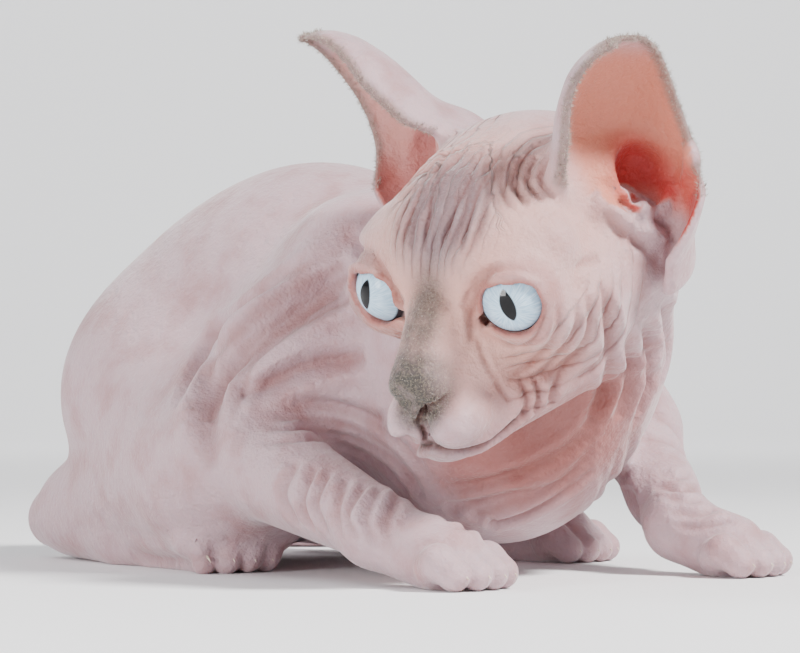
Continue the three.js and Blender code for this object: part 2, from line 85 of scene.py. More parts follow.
# Degrees from the cup's middle to its back and front margins, at shares of the ear's height
earWrap = {"back": ([0, .22, .4, .6, .8, 1], [172, 140, 100, 80, 70, 60]),
           "front": ([0, .22, .4, .6, .8, 1], [36, 58, 78, 80, 70, 60])}
# Masses in the order that they are joined, each with its own fillet. A ball has a centre and half sizes,
# a cone two ends and their radii. Those of the head are in its own frame and mirrored about x = 0.
headMasses = {
    "skull": {"ball": ((0, 14, 8.5), (30, 38, 27))},
    "forehead": {"ball": ((0, -8, 10), (23, 20, 22)), "fillet": 10},
    "cheekbone": {"ball": ((24, -9, -5), (11.5, 20, 10)), "fillet": 8},
    "cheek": {"ball": ((21.5, 7, -11), (14.5, 23, 18.5)), "fillet": 10},
    "muzzle": {"cone": ((0, -16, -10), (0, -38, -18), 18, 11), "fillet": 8},
    "bridge": {"cone": ((0, -20, 9), (0, -47, -10.5), 10, 7.2), "fillet": 5},
    "brow": {"cone": ((9, -22, 13), (25, -12, 13), 8, 6.5), "fillet": 10},
    "innerBrow": {"cone": ((8.5, -27.5, 11), (10, -30, 3), 6, 3.6), "fillet": 5},
    "jaw": {"cone": ((6, -36, -31.5), (20, 4, -25), 7, 12), "fillet": 6},
    "chin": {"ball": ((0, -39.5, -33.2), (9.5, 9.5, 6.6)), "fillet": 3},
}
socket = {"fromEye": (2.5, -9, 0), "halfSizes": (11, 8, 9), "fillet": 5}
whiskerPad = {"ball": ((6.8, -41, -25.2), (7.4, 12, 7.8)), "fillet": 2.5}
nose = {"ball": ((0, -48.5, -12.8), (8, 8, 6.8)), "front": (54.2, 15), "slope": (-.93, -.37)}
# Grooves carved in the head: stations of x, y, z and radius
mouthLine = [(0, -51.5, -29, .5), (5, -50.5, -32, .6), (10.5, -46.5, -33, .6), (15, -40, -32.5, .5),
             (19, -33, -31, .4), (22, -27, -28, .2)]
philtrum = [(0, -53.8, -20, .3), (0, -53, -24, .4), (0, -51.5, -29, .5)]
nostril = [(1, -53.6, -21.5, .3), (3.4, -54.3, -18.6, .7), (4.8, -54, -16.2, 1.3), (7.6, -51, -14.6, .6)]
bodyMasses = {
    "ribs": {"ball": ((46, 62, 65), (46, 59, 47))},
    "loin": {"ball": ((44, 138, 72), (50, 64, 57)), "fillet": 26},
    "rump": {"ball": ((40, 176, 54), (50, 52, 50)), "fillet": 26},
    "chest": {"ball": ((38, 50, 46), (32, 36, 36)), "fillet": 16},
}
neckMasses = {
    "neck": {"cone": ((52, 62, 84), (28, 5, 94), 42, 29)},
    "throat": {"ball": ((40, 0, 110), (19, 19, 22)), "fillet": 16},
}
limbs = [   # joints from the body outward, with the radius of flesh at each
    [(14, 90, 98, 16), (4, 100, 66, 23), (-16, 104, 36, 17), (-30, 30, 17, 10.5)],
    [(76, 66, 98, 16), (88, 66, 72, 20), (107, 58, 43, 13.5), (90, 30, 24, 9.5), (80, 14, 16, 9.5)],
    [(18, 177, 54, 37), (-5, 124, 31, 28), (8, 213, 18, 15)],
    [(64, 196, 70, 32), (112, 130, 34, 22), (96, 205, 18, 12)],
]
paws = [
    {"wrist": (-30, 30, 15), "toe": (-25, -6, 5)},
    {"wrist": (80, 14, 14), "toe": (85, -13, 5)},
    {"wrist": (-2, 176, 9), "toe": (-14, 112, 5)},
    {"wrist": (100, 150, 9), "toe": (112, 84, 5)},
]
# A foot's knuckles lie behind its toe point; the middle toes lead the outer ones by the stagger
toes = {"shares": (-1, -1 / 3, 1 / 3, 1), "back": 9, "palm": (10, 10.5), "rootSpread": 7.6, "spread": 11,
        "ahead": 7, "stagger": 3, "tipAhead": 5.5, "tipHeight": 4.6, "radii": (6, 4.8, 4.6)}
metatarsals = [((8, 228, 13), (-2, 176, 9)), ((96, 205, 14), (100, 150, 9))]
tail = {"path": [(43, 214, 50), (46, 236, 27), (66, 248, 9), (102, 240, 6.2), (128, 218, 5.2),
                 (139, 190, 4.2), (138, 162, 3.2)], "root": 10, "tip": 3.4}


def vec(v):
    return np.array(v, np.float32)


def unit(v):
    return np.array(v, float) / np.linalg.norm(v)


# Smooth join of two signed distances: the smaller one, less a quarter of the fillet's width k times the
# square of the share of k by which their difference falls short of it
def join(a, b, k):
    h = np.maximum(k - np.abs(a - b), 0) / k
    return np.minimum(a, b) - h * h * k * .25


# Smooth cut: a join of the outside of a with b, turned inside out again
def carve(a, b, k):
    return -join(-a, b, k)


# Ellipsoid: scaled length times (scaled length - 1) over its slope
def ball(p, centre, radii):
    r = np.broadcast_to(vec(radii), (3,))
    q = (p - vec(centre)) / r
    length = np.sqrt((q * q).sum(1)) + 1e-9
    slope = np.sqrt(((q / r) ** 2).sum(1)) + 1e-9
    return length * (length - 1) / slope


# Round cone: distance to a segment whose radius runs from ra at a to rb at b
def cone(p, a, b, ra, rb):
    a, b = vec(a), vec(b)
    ba = b - a
    l2 = float(ba @ ba)
    dr = ra - rb
    a2 = l2 - dr * dr
    pa = p - a
    y = pa @ ba
    z = y - l2
    w = pa * l2 - ba * y[:, None]
    x2 = (w * w).sum(1)
    y2, z2 = y * y * l2, z * z * l2
    k = np.sign(dr) * dr * dr * x2
    d = (np.sqrt(np.maximum(x2 * a2 / l2, 0)) + y * dr) / l2 - ra
    d = np.where(np.sign(y) * a2 * y2 < k, np.sqrt(x2 + y2) / l2 - ra, d)
    return np.where(np.sign(z) * a2 * z2 > k, np.sqrt(x2 + z2) / l2 - rb, d)


# Masses joined one after another
def massed(p, masses):
    d = None
    for mass in masses.values():
        form = ball(p, *mass["ball"]) if "ball" in mass else cone(p, *mass["cone"])
        d = form if d is None else join(d, form, mass["fillet"])
    return d


# A chain of round cones through stations (x, y, z, radius)
def chain(p, stations, fillet=0):
    d = None
    for a, b in zip(stations[:-1], stations[1:]):
        c = cone(p, a[:3], b[:3], a[3], b[3])
        d = c if d is None else join(d, c, fillet) if fillet else np.minimum(d, c)
    return d


# Joins a form onto d only at the points inside a sphere, where it can matter
def joinNear(d, p, centre, radius, form, k):
    inside = ((p - vec(centre)) ** 2).sum(1) < radius * radius
    if inside.any():
        d[inside] = join(d[inside], form(p[inside]), k)
    return d


def turn(axis, degrees):
    return np.array(Matrix.Rotation(math.radians(degrees), 3, axis))


headTurn = turn("Z", headPlace["yaw"]) @ turn("X", headPlace["pitch"]) @ turn("Y", headPlace["roll"])


# From the body's frame to the head's: moved, turned back and divided by the head's size
def toHead(p):
    return ((p - vec(headPlace["at"])) @ headTurn.astype(np.float32)) / np.float32(headPlace["size"])


def fromHead(q):
    return np.asarray(q, float) * headPlace["size"] @ headTurn.T + np.array(headPlace["at"])


gaze = unit(eye["gaze"])
gazeOut = unit(np.cross((0, 0, 1), gaze))
gazeUp = np.cross(gaze, gazeOut)
eyeCentre = np.array((eye["x"], eye["y"], eye["z"]), float)


# Curve through stations with no overshoot: cubic pieces whose slopes are harmonic means
def through(v, stations, values):
    xs, ys = np.array(stations, float), np.array(values, float)
    step = np.diff(xs)
    slope = np.diff(ys) / step
    product = slope[:-1] * slope[1:]
    inner = np.where(product > 0, 2 * product / np.where(product > 0, slope[:-1] + slope[1:], 1), 0)
    m = np.concatenate([slope[:1], inner, slope[-1:]])
    i = np.clip(np.searchsorted(xs, v, side="right") - 1, 0, len(xs) - 2)
    t = (np.clip(v, xs[0], xs[-1]) - xs[i]) / step[i]
    return ((2 * t**3 - 3 * t**2 + 1) * ys[i] + (t**3 - 2 * t**2 + t) * step[i] * m[i]
            + (3 * t**2 - 2 * t**3) * ys[i + 1] + (t**3 - t**2) * step[i] * m[i + 1])


# An ear's own frame: along the ear, out of its mouth, and across
def earFrame(ear):
    along = unit(ear["axis"])
    mouth = np.array(ear["open"], float)
    mouth = unit(mouth - along * (mouth @ along))
    return along, mouth, np.cross(along, mouth)


# Where head points lie in an ear: across, towards the mouth, height as a share, turn round the cup,
# the cup's radius there and the half turn of its sheet
def earPlace(q, ear):
    along, mouth, across = earFrame(ear)
    w = q - vec(ear["base"])
    height = w @ vec(along)
    v = np.clip(height / ear["length"], 0, 1)
    half = ear["width"] * through(v, *earOutline)
    x = w @ vec(across)
    wrap = np.radians(np.where(x * ear["side"] > 0, through(v, *earWrap["back"]),
                               through(v, *earWrap["front"])))
    radius = half / np.sin(np.radians(np.clip(through(v, *earWrap["front"]), 60, 90)))
    y = (w @ vec(mouth) - ear["bend"] * v * v) / ear["cup"]
    return x, y, height, v, radius, wrap


# How far points lie from the margin of an ear's sheet, across the ear
def marginGap(x, y, radius, wrap):
    return np.hypot(np.abs(x) - radius * np.sin(wrap), y + radius * np.cos(wrap))


# A cupped ear: the distance to an arc of a cylinder whose radius and sweep change along the ear
def earForm(q, ear):
    x, y, height, v, radius, wrap = earPlace(q, ear)
    around = np.arctan2(np.abs(x), -y)
    past = np.maximum(around - wrap, 0)
    ring = np.hypot(x, y) - radius
    edge = marginGap(x, y, radius, wrap)
    d = np.where(past > 0, edge, np.abs(ring))
    beyond = np.maximum(np.maximum(height - ear["length"], -10 - height), 0)
    sheet = through(v, [0, .3, .8, 1], [1.6, 1.2, 1.0, .9])
    return np.hypot(d, beyond) - sheet


# A point in an ear: how far across to the back margin, how far above its root, how far into the mouth
def earPoint(ear, back, height, mouth):
    along, out, across = earFrame(ear)
    return np.array(ear["base"]) + across * back * ear["side"] + along * height + out * mouth


# The root of an ear: a bulge behind it with the hollow of the canal pressed in from the mouth
def earRoot(q, ear, d):
    d = join(d, ball(q, earPoint(ear, 8, 6, -12), (12, 10, 13)), 12)
    return carve(d, ball(q, earPoint(ear, 10, 11, -6), (8, 8.5, 11)), 3)


# Points of both halves of the head laid over its left half
def halved(q):
    return np.stack([np.abs(q[:, 0]), q[:, 1], q[:, 2]], 1)


# Head: skull, cheekbones, muzzle, nose, jaw and lids, mirrored about the middle plane
def headForm(q):
    s = halved(q)
    d = massed(s, headMasses)
    d = carve(d, ball(s, eyeCentre + socket["fromEye"], socket["halfSizes"]), socket["fillet"])
    d = join(d, ball(s, eyeCentre, eye["radius"] + lids["thickness"]), 4)
    d = join(d, ball(s, *whiskerPad["ball"]), whiskerPad["fillet"])
    front = nose["slope"][0] * (s[:, 1] + nose["front"][0]) + nose["slope"][1] * (s[:, 2] + nose["front"][1])
    d = join(d, -join(-ball(s, *nose["ball"]), -front, 1.2), 2)
    for ear in ears.values():
        mine = (q[:, 0] * ear["side"] > 0) & (q[:, 2] > -20)
        if mine.any():
            d[mine] = earRoot(q[mine], ear, join(d[mine], earForm(q[mine], ear), 8))
    w = s - vec(eyeCentre)
    out, up, ahead = (w @ vec(g) for g in (gazeOut, gazeUp, gaze))
    opening = -join(lids["radius"] - np.hypot(out, up - lids["centre"]),
                    lids["top"] + lids["slant"] * out - up, 2)
    opening = join(opening, np.hypot(out - lids["duct"][0], up - lids["duct"][1]) - lids["duct"][2], 4)
    d = carve(d, np.maximum(opening, -ahead), 1.2)
    d = carve(d, chain(s, mouthLine), 1.5)
    d = carve(d, chain(s, philtrum), 1.2)
    return carve(d, chain(s, nostril), .8)


# A paw's wrist, its knuckles' middle, and the level directions ahead and to the side
def pawFrame(paw):
    wrist, toe = np.array(paw["wrist"], float), np.array(paw["toe"], float)
    ahead = unit((toe - wrist) * (1, 1, 0))
    return wrist, toe - ahead * toes["back"], ahead, np.cross((0, 0, 1), ahead)


# A paw: a palm and four toes side by side, the two middle toes leading
def pawForm(p, paw):
    wrist, knuckle, ahead, side = pawFrame(paw)
    thick, slim, end = toes["radii"]
    d = cone(p, wrist, knuckle + (0, 0, 3), *toes["palm"])
    for t in toes["shares"]:
        root = knuckle + side * t * toes["rootSpread"] + (0, 0, 2.5 - 1.2 * abs(t))
        lead = toes["ahead"] - toes["stagger"] * abs(t)
        bend = knuckle + side * t * toes["spread"] + ahead * lead + (0, 0, 3.2)
        tip = bend + ahead * toes["tipAhead"]
        tip[2] = toes["tipHeight"]
        d = join(d, join(cone(p, root, bend, thick, slim), cone(p, bend, tip, slim, end), 2), 1)
    return d


# Smooth curve through points: cubics whose slope at a point is half the step between its neighbours
def curveThrough(points, count):
    before, after = 2 * np.array(points[0]) - points[1], 2 * np.array(points[-1]) - points[-2]
    pts = np.array([before, *points, after], float)
    t = np.linspace(0, len(points) - 1 - 1e-6, count)
    i, f = t.astype(int), (t % 1)[:, None]
    a, b, c, d = pts[i], pts[i + 1], pts[i + 2], pts[i + 3]
    return .5 * (2 * b + (c - a) * f + (2 * a - 5 * b + 4 * c - d) * f**2 + (3 * b - 3 * c + d - a) * f**3)


tailCurve = curveThrough(tail["path"], 17)
tailShare = np.linspace(0, 1, 17) ** .7
tailStations = [(*p, tail["root"] + (tail["tip"] - tail["root"]) * t) for p, t in zip(tailCurve, tailShare)]


# Body: rib cage, loin, rump, chest, neck, limbs, paws and tail
def bodyForm(p):
    d = join(massed(p, bodyMasses), massed(p, neckMasses), 22)
    for stations in limbs:
        middle = np.mean([s[:3] for s in stations], 0)
        reach = max(np.linalg.norm(np.array(s[:3]) - middle) + s[3] for s in stations) + 22
        d = joinNear(d, p, middle, reach, lambda q, s=stations: chain(q, s, 8), 14)
    for paw in paws:
        d = joinNear(d, p, (np.array(paw["wrist"]) + paw["toe"]) / 2, 58, lambda q, w=paw: pawForm(q, w), 5)
    for a, b in metatarsals:
        d = joinNear(d, p, (np.array(a) + b) / 2, 55, lambda q, a=a, b=b: cone(q, a, b, 10, 10), 8)
    return joinNear(d, p, (95, 205, 15), 90, lambda q: chain(q, tailStations), 6)


# The whole cat, cut off level at the floor
def catForm(p):
    p = p.astype(np.float32)
    d = bodyForm(p)
    d = joinNear(d, p, fromHead((0, 0, 15)), 108, lambda q: headForm(toHead(q)) * headPlace["size"], 14)
    return np.maximum(d, -p[:, 2])


# The form at many points, shared out among the processor's cores
def evaluate(form, points, share=60000):
    parts = [points[i:i + share] for i in range(0, len(points), share)]
    with ThreadPoolExecutor(4) as pool:
        return np.concatenate(list(pool.map(form, parts)))


# Samples the form on a lattice in three passes, keeping only the blocks near the surface
def sampleForm(form, low, high, step):
    fine, coarse = 4, 16
    count = np.ceil((np.array(high) - low) / (step * coarse)).astype(int)
    blocks = np.stack(np.meshgrid(*[np.arange(n) for n in count], indexing="ij"), -1).reshape(-1, 3) * 4
    values = evaluate(form, np.array(low) + (blocks + 2) * fine * step)
    dense = np.zeros(tuple(count * 4), np.float32)
    inner = np.stack(np.meshgrid(*[np.arange(4)] * 3, indexing="ij"), -1).reshape(-1, 3)
    children = blocks[:, None] + inner[None]
    dense[tuple(children.reshape(-1, 3).T)] = np.repeat(np.sign(values) * 50, 64)
    near = np.abs(values) < coarse * step * .87 * 1.3 + 6
    children = children[near].reshape(-1, 3)
    values = evaluate(form, np.array(low) + (children + .5) * fine * step)
    dense[tuple(children.T)] = values
    lattice = np.sign(dense) * 4 * step
    lattice = lattice.repeat(fine, 0).repeat(fine, 1).repeat(fine, 2)
    close = children[np.abs(values) < fine * step * .87 * 1.4 + 3.2 * step]
    points = (close[:, None] * fine + inner[None]).reshape(-1, 3)
    values = evaluate(form, np.array(low) + points * step)
    lattice[tuple(points.T)] = np.clip(values, -4 * step, 4 * step)
    return lattice.astype(np.float32)


# The surface of the form as points and four-sided faces
def meshFromForm(form, low, high, step):
    grid = openvdb.FloatGrid(4.0 * step)
    grid.copyFromArray(sampleForm(form, low, high, step))
    points, _, quads = grid.convertToPolygons(0.0, 0.0)
    return points * step + np.array(low), quads[:, ::-1].astype(np.int32)


# Pulls points onto the form's surface: against its slope by the distance over the slope's square
def settle(points, form, rounds=2, most=.6):
    for _ in range(rounds):
        e = .12
        probes = np.concatenate([points] + [points + np.eye(3)[i] * e for i in range(3)])
        d, dx, dy, dz = np.split(evaluate(form, probes), 4)
        slope = np.stack([dx - d, dy - d, dz - d], 1) / e
        move = -d / np.maximum((slope * slope).sum(1), .3)
        points = points + slope * np.clip(move, -most, most)[:, None]
    return points


def linked(name, data):
    thing = bpy.data.objects.new(name, data)
    bpy.context.scene.collection.objects.link(thing)
    return thing


# An object from points and faces that all have the same number of sides
def meshObject(name, points, faces, smooth=True):
    mesh = bpy.data.meshes.new(name)
    mesh.from_pydata([], [], [])
    mesh.vertices.add(len(points))
    mesh.vertices.foreach_set("co", np.asarray(points, np.float32).ravel())
    sides = faces.shape[1]
    mesh.loops.add(faces.size)
    mesh.loops.foreach_set("vertex_index", faces.astype(np.int32).ravel())
    mesh.polygons.add(len(faces))
    mesh.polygons.foreach_set("loop_start", np.arange(len(faces), dtype=np.int32) * sides)
    mesh.update(calc_edges=True)
    mesh.validate()
    mesh.polygons.foreach_set("use_smooth", np.full(len(mesh.polygons), smooth))
    return linked(name, mesh)


# An object from points and lists of faces of three or more sides, shaded smooth
def facedObject(name, points, faces):
    mesh = bpy.data.meshes.new(name)
    mesh.from_pydata(points.tolist(), [], faces)
    mesh.polygons.foreach_set("use_smooth", np.ones(len(mesh.polygons), bool))
    return linked(name, mesh)


# Rings of points joined to a tube: each ring's indices, those of the next points round, and the faces
def ringQuads(rings, sides):
    index = np.arange(rings * sides).reshape(rings, sides)
    after = np.roll(index, -1, 1)
    return index, after, np.stack([index[:-1], index[1:], after[1:], after[:-1]], -1).reshape(-1, 4)


# From the body's frame in millimetres to the part's frame in metres
def toRow(p):
    return (np.asarray(p, float) - (*body["originUnderBody"], 0)) * .001


def fromRow(p):
    return np.asarray(p, float) * 1000 + (*body["originUnderBody"], 0)


def vertexPlaces(thing):
    places = np.empty(len(thing.data.vertices) * 3, np.float32)
    thing.data.vertices.foreach_get("co", places)
    return places.reshape(-1, 3).astype(float)


def vertexNormals(thing):
    normals = np.empty(len(thing.data.vertices) * 3, np.float32)
    thing.data.vertex_normals.foreach_get("vector", normals)
    return normals.reshape(-1, 3).astype(float)


def setPlaces(thing, places):
    thing.data.vertices.foreach_set("co", places.astype(np.float32).ravel())
    thing.data.update()


def floatAttribute(thing, name, values):
    layer = thing.data.attributes.new(name, "FLOAT", "POINT")
    layer.data.foreach_set("value", np.asarray(values, np.float32))


# Smooth step from 0 at a to 1 at b: three squares less two cubes
def ramp(v, a, b):
    t = np.clip((v - a) / (b - a), 0, 1)
    return t * t * (3 - 2 * t)


# Smooth seeded noise from -1 to 1: a sum of sines in random directions
def wander(p, size, seed, waves=7):
    rng = np.random.default_rng(seed)
    total = 0
    for _ in range(waves):
        k = rng.normal(size=3)
        k *= 2 * math.pi / size * rng.uniform(.6, 1.4) / np.linalg.norm(k)
        total = total + np.sin(p @ k + rng.uniform(0, 6.28))
    return total / math.sqrt(waves) / 1.4


# A soft spot: 1 inside the ellipsoid, falling to 0 at its edge
def spot(p, centre, radii, soft=.45):
    r = np.sqrt((((p - np.array(centre, float)) / np.array(radii, float)) ** 2).sum(1))
    return 1 - ramp(r, 1 - soft, 1)


# Creases and ridges drawn in the picture's pixels: a path, its width and its depth in millimetres.
# A negative depth is a ridge. Those of the face are mirrored on the head, the rest on the body.
faceStrokes = [
    ([(424, 440), (446, 450), (470, 449), (489, 443), (513, 424), (526, 410)], 1.2, 1.9),
    ([(421, 424), (424, 433), (425, 441)], .9, 1.7),
    ([(420, 424), (419, 416), (424, 408), (433, 405), (446, 396)], 1.0, 1.7),
    ([(422, 411), (430, 407)], 1.4, 2.4),
    ([(494, 381), (506, 396), (511, 404)], 1.0, .8),
    ([(520, 376), (527, 394), (527, 406), (521, 422)], 1.3, 1.4),
    ([(535, 376), (539, 397), (534, 414)], 1.3, 1.5),
    ([(587, 348), (566, 368), (554, 389), (550, 406)], 1.5, 1.6),
    ([(589, 295), (590, 323), (584, 343), (567, 359), (539, 384)], 1.7, 1.6),
    ([(579, 306), (576, 330), (562, 349), (544, 369), (524, 381)], 1.5, 1.4),
    ([(556, 303), (559, 326), (547, 348), (527, 366), (506, 378)], 1.4, 1.0),
    ([(499, 340), (519, 346), (536, 338), (546, 315), (546, 303)], 1.0, .9),
    ([(506, 268), (493, 271), (477, 288), (471, 318), (471, 343)], 1.4, 1.5),
    ([(476, 333), (481, 348), (489, 369), (499, 384)], 1.0, .7),
    ([(468, 293), (463, 305)], .9, .7),
    ([(487, 278), (514, 275), (541, 284)], 1.1, -.8),
    ([(600, 280), (612, 320), (606, 352), (580, 380)], 1.8, 1.5),
    ([(575, 270), (585, 262), (600, 258)], 1.5, 1.0),
]
# Families of folds: lines run between two curves
foreheadFolds = {"from": [(452, 142), (430, 185), (413, 222), (405, 250)],
                 "to": [(506, 150), (488, 192), (477, 226), (468, 256)],
                 "lines": 8, "width": 1.2, "depth": 1.15}
earArcs = {"from": [(497, 150), (487, 180), (499, 212)], "to": [(550, 158), (541, 180), (556, 200)],
           "lines": 5, "width": 1.3, "depth": 1.2}
# The flaps inside the near ear and the folds at its base
nearEarStrokes = [
    ([(648, 156)], 3.0, -2.6), ([(592, 196), (612, 214), (634, 226)], 3.2, -2.4),
    ([(640, 222), (654, 236), (668, 240)], 2.6, -2.2), ([(622, 190), (640, 204), (656, 214)], 2.2, -1.6),
    ([(688, 140), (690, 165), (684, 190)], 2.6, -2.0), ([(600, 212), (622, 232), (650, 250)], 1.8, 1.4),
    ([(618, 198), (636, 214)], 1.4, 1.2), ([(655, 218), (672, 232)], 1.4, 1.2),
]
bodyStrokes = [
    ([(210, 470), (212, 390), (275, 325), (378, 262)], 4.6, 5.0),
    ([(240, 395), (300, 368), (365, 355)], 3.0, 3.4),
    ([(130, 555), (180, 562), (240, 548)], 3.0, 1.6),
    ([(600, 300), (612, 340), (606, 390), (585, 430)], 2.6, 2.2),
    ([(625, 330), (630, 370), (615, 420)], 2.4, 2.0),
    ([(645, 320), (650, 370), (640, 415)], 2.4, 2.0),
    ([(664, 300), (668, 350), (658, 390)], 2.6, 2.0),
]
bodyFamilies = [
    {"from": [(440, 486), (500, 476), (560, 452), (598, 420)],
     "to": [(452, 528), (510, 518), (556, 500), (592, 470)], "lines": 6, "width": 1.8, "depth": 2.1},
    {"from": [(290, 398), (345, 403), (395, 430), (430, 470)],
     "to": [(262, 440), (330, 440), (385, 466), (420, 508)], "lines": 5, "width": 1.8, "depth": 1.7},
    {"from": [(300, 462), (285, 495), (296, 528)], "to": [(396, 492), (384, 522), (392, 550)],
     "lines": 7, "width": 1.7, "depth": 1.2},
    {"from": [(180, 405), (222, 330), (295, 276), (368, 244)],
     "to": [(228, 430), (262, 356), (325, 312), (392, 286)], "lines": 5, "width": 2.6, "depth": 2.4},
    {"from": [(655, 470), (680, 478), (706, 470)], "to": [(672, 522), (700, 528), (732, 518)],
     "lines": 5, "width": 1.5, "depth": 1.1},
]


# Lines between two curves, each strayed a little so that no two run alike
def familyStrokes(family, seed):
    rng = np.random.default_rng(seed)
    first, last = np.array(family["from"], float), np.array(family["to"], float)
    strokes = []
    for t in np.linspace(0, 1, family["lines"]):
        line = first + (last - first) * t + rng.normal(scale=1.6, size=first.shape)
        width, depth = family["width"] * rng.uniform(.8, 1.25), family["depth"] * rng.uniform(.6, 1.2)
        strokes.append((line, width, depth))
    return strokes


# Pixels carried along the camera's rays, each step .8 of the distance left, until they meet the form
def castPixels(pixels):
    right, up, back, aim = (np.array(v) for v in shotFrame())
    eyePoint = fromRow(aim + back * shot["distance"])
    across = (np.array(pixels)[:, :1] - shot["width"] / 2) * shot["metresPerPixel"]
    down = (np.array(pixels)[:, 1:] - shot["height"] / 2) * shot["metresPerPixel"]
    ray = right * across - up * down - back * shot["distance"]
    ray = ray / np.linalg.norm(ray, axis=1)[:, None]
    reach = np.full((len(ray), 1), shot["rayStart"])
    for _ in range(70):
        reach += np.clip(catForm(eyePoint + ray * reach), -6, 40)[:, None] * .8
    return eyePoint + ray * reach


# A path with points every .7 mm, without those past a jump, where a ray missed and met what lies behind
def thicken(path, jump=14):
    steps = np.linalg.norm(np.diff(path, axis=0), axis=1)
    keep = np.concatenate([[True], steps < jump])
    path = path[keep]
    along = np.concatenate([[0], np.cumsum(np.linalg.norm(np.diff(path, axis=0), axis=1))])
    t = np.linspace(0, along[-1], max(3, int(along[-1] / .7)))
    return np.stack([np.interp(t, along, path[:, i]) for i in range(3)], 1)


# Paths turned to the other side of the head or body and settled on the form, less the points moved too far
def mirrorPaths(paths, onHead):
    points = np.concatenate(paths)
    if onHead:
        points = fromHead(toHead(points.astype(np.float32)) * (-1, 1, 1))
    else:
        points = points * (-1, 1, 1) + (2 * body["middle"], 0, 0)
    settled = settle(points, catForm, 12, 3)
    kept = np.linalg.norm(settled - points, axis=1) < (6 if onHead else 14)
    cuts = np.cumsum([len(path) for path in paths])[:-1]
    return [path[keep] for path, keep in zip(np.split(settled, cuts), np.split(kept, cuts))]


# How far each stroke moves the skin: a valley with a low shoulder on each side, fading at its ends
def pressStrokes(points, strokes):
    move, creaseTintAndShade, grooveShade = np.zeros(len(points)), np.zeros(len(points)), np.zeros(len(points))
    for path, width, depth in strokes:
        low, high = path.min(0) - 4 * width, path.max(0) + 4 * width
        near = np.flatnonzero(((points > low) & (points < high)).all(1))
        if not len(near):
            continue
        gaps = np.linalg.norm(points[near][:, None] - path[None], axis=2)
        nearest = gaps.argmin(1)
        u = gaps[np.arange(len(near)), nearest] / width
        t = nearest / max(1, len(path) - 1)
        taper = np.sqrt(np.clip(np.minimum(t, 1 - t) * 5, 0, 1)) if len(path) > 6 else 1
        steep = depth / width
        valley = np.exp(-u * u)
        move[near] -= depth * taper * (valley - .4 * np.exp(-((u - 1.9) / .9) ** 2))
        # The crease mask tints each valley a deep red-brown: partly the skin's own redness, partly painted
        # shade in the fold
        creaseTintAndShade[near] = np.maximum(creaseTintAndShade[near], taper * np.exp(-(u / .75) ** 2) * np.clip(steep, 0, 1.8) * .55)
        # Deep, narrow valleys such as the mouth line and nostrils also get a near-black mask: painted shade
        # in the groove
        if steep > 1.45 and width < 2:
            grooveShade[near] = np.maximum(grooveShade[near], np.minimum(1, taper * 1.3) * np.exp(-(u / .6) ** 2))
    return move, creaseTintAndShade, grooveShade


# Every crease as a path on the form with its width and depth; those of the hidden side are drawn lightly
def allStrokes():
    face = faceStrokes + familyStrokes(foreheadFolds, 11) + familyStrokes(earArcs, 12)
    families = [stroke for i, family in enumerate(bodyFamilies) for stroke in familyStrokes(family, 20 + i)]
    drawn = face + nearEarStrokes + bodyStrokes + families
    paths = [curveThrough(pixels, 14) if len(pixels) > 2 else np.linspace(pixels[0], pixels[-1], 8)
             for pixels, width, depth in drawn]
    cast = np.split(castPixels(np.concatenate(paths)), np.cumsum([len(path) for path in paths])[:-1])
    dense = [thicken(path) if np.ptp(path) > 2 else path[:1] for path in cast]
    lastFace, lastEar = len(face), len(face) + len(nearEarStrokes)
    facing = mirrorPaths(dense[:lastFace], True)
    behind = mirrorPaths(dense[lastEar:], False)
    sizes = [stroke[1:] for stroke in drawn]
    shallow = [(width, min(depth * .5, 1.1)) for width, depth in sizes[lastEar:]]
    pairs = list(zip(dense, sizes)) + list(zip(facing, sizes[:lastFace])) + list(zip(behind, shallow))
    return [(path, width, depth) for path, (width, depth) in pairs if len(path) > 4 or len(path) == 1]


# Each family of folds: how many folds lie up to a point, and how deep they are there.
# A fold runs where the count is whole.
def foldFamilies(q):
    x, y, z = q[:, 0], q[:, 1], q[:, 2]
    ax = np.abs(x)
    s = halved(q)
    families = []
    brow = (x + 1.2 * wander(q, 26, 1)) / np.interp(z, [4, 36], [2.3, 3.6])
    families.append((brow, .45 * spot(s, (0, -16, 24), (22, 28, 23)) * (1 - .75 * ramp(y, 4, 22))))
    for i, ear in enumerate(ears.values()):
        root = np.array(ear["base"]) + (-4 * ear["side"], -12, 14)
        reach = np.linalg.norm(q - root, axis=1)
        families.append(((reach + wander(q, 30, 3 + i)) / 3.4,
                         .6 * ramp(reach, 9, 13) * (1 - ramp(reach, 24, 34))
                         * ramp(-x * ear["side"] + 24, 0, 8) * ramp(z, 18, 26)))
    reach = np.linalg.norm(s - (eyeCentre + (-2, 4, 4)), axis=1)
    families.append(((reach + 1.6 * wander(q, 30, 7)) / 4.0,
                     .5 * ramp(reach, 17, 20) * (1 - ramp(reach, 36, 44)) * ramp(s[:, 1], -34, -26)
                     * ramp(-z, -6, 4) * ramp(ax, 12, 18) * (1 - ramp(y, 10, 22))))
    return families


# How far points about an eye's centre lie outside the lids' round opening, and above its upper edge
def lidEdges(w):
    outside = np.hypot(w @ gazeOut, w @ gazeUp - lids["centre"]) - lids["radius"]
    return outside, w @ gazeUp - lids["top"]


# Keeps the lids outside the eyeballs: skin beyond the lids' opening stays clear of the ball
def coverEyes(points):
    q = toHead(points.astype(np.float32)).astype(float)
    w = q * (np.sign(q[:, :1]) * (1, 0, 0) + (0, 1, 1)) - eyeCentre
    reach = np.linalg.norm(w, axis=1)
    clear = eye["radius"] + lids["clearance"]
    low = (reach < clear) & (w @ gaze > 0) & (np.maximum(*lidEdges(w)) > 1.2)
    w[low] *= (clear / reach[low])[:, None]
    moved = w + eyeCentre
    moved[:, 0] *= np.where(q[:, 0] < 0, -1, 1)
    points[low] = fromHead(moved[low])
    return points


